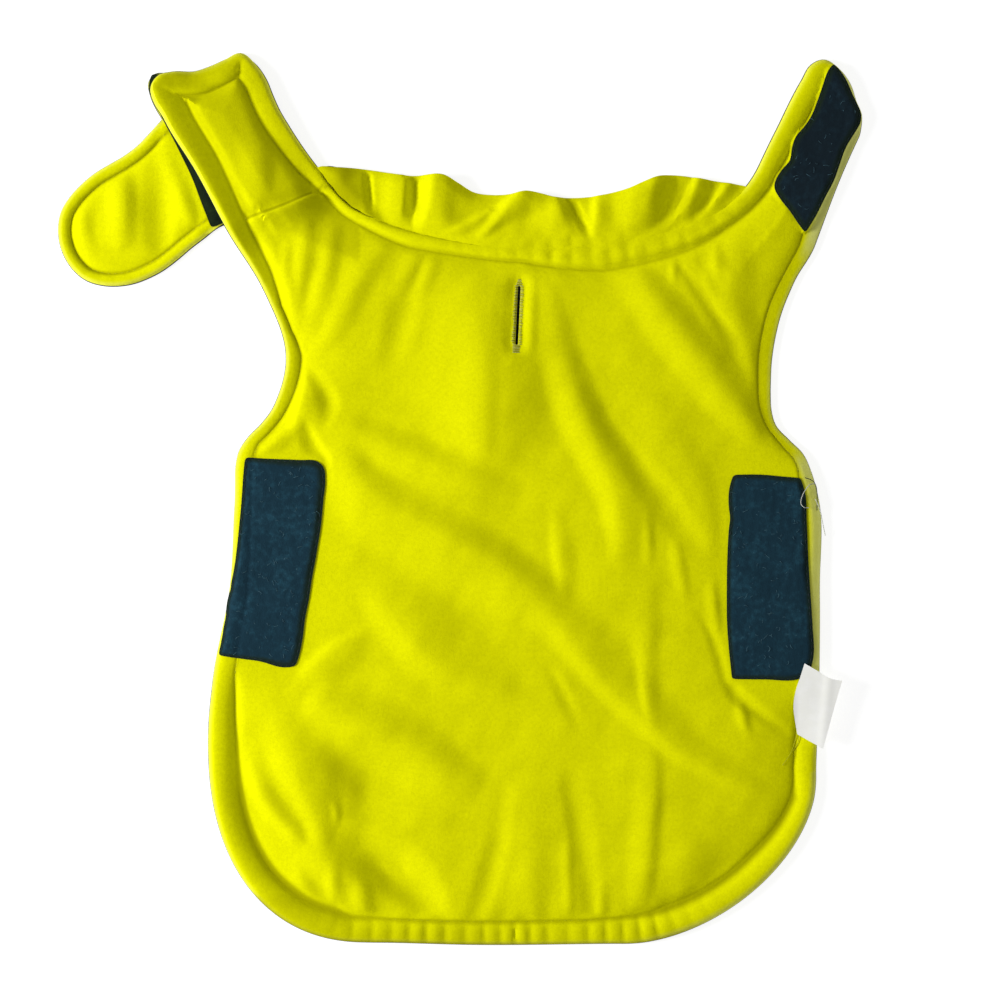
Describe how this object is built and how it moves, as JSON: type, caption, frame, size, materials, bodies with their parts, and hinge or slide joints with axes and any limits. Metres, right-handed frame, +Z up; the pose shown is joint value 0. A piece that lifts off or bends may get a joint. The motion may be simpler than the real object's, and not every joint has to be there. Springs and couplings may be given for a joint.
{
  "type": "dog fleece vest",
  "caption": "Dog vest laid flat with its fleece lining up: back panel with neck straps, gathered collar, chest tab, hook-and-loop tapes and leash slit.",
  "frame": {"origin": "centre of the footprint of the laid-out vest, on the surface it lies on", "axes": "+Z up out of the fleece lining, +Y from the hem to the neck, +X to the right seen from above"},
  "size_m": [0.4188, 0.4648, 0.0125],
  "materials": {
    "lining_fleece": "soft fluorescent yellow fleece",
    "woven_shell": "matt navy woven cloth",
    "loop_tape": "fuzzy navy loop tape",
    "label_satin": "white satin"
  },
  "bodies": {
    "root": {"back_lining": "lining_fleece", "back_shell": "woven_shell", "collar_lining": "lining_fleece", "collar_shell": "woven_shell", "tab_lining": "lining_fleece", "tab_shell": "woven_shell", "side_patch_left": "loop_tape", "side_patch_right": "loop_tape", "strap_patch_right": "loop_tape", "strap_patch_left": "loop_tape", "tab_patch": "loop_tape", "care_label": "label_satin"}
  },
  "joints": []
}
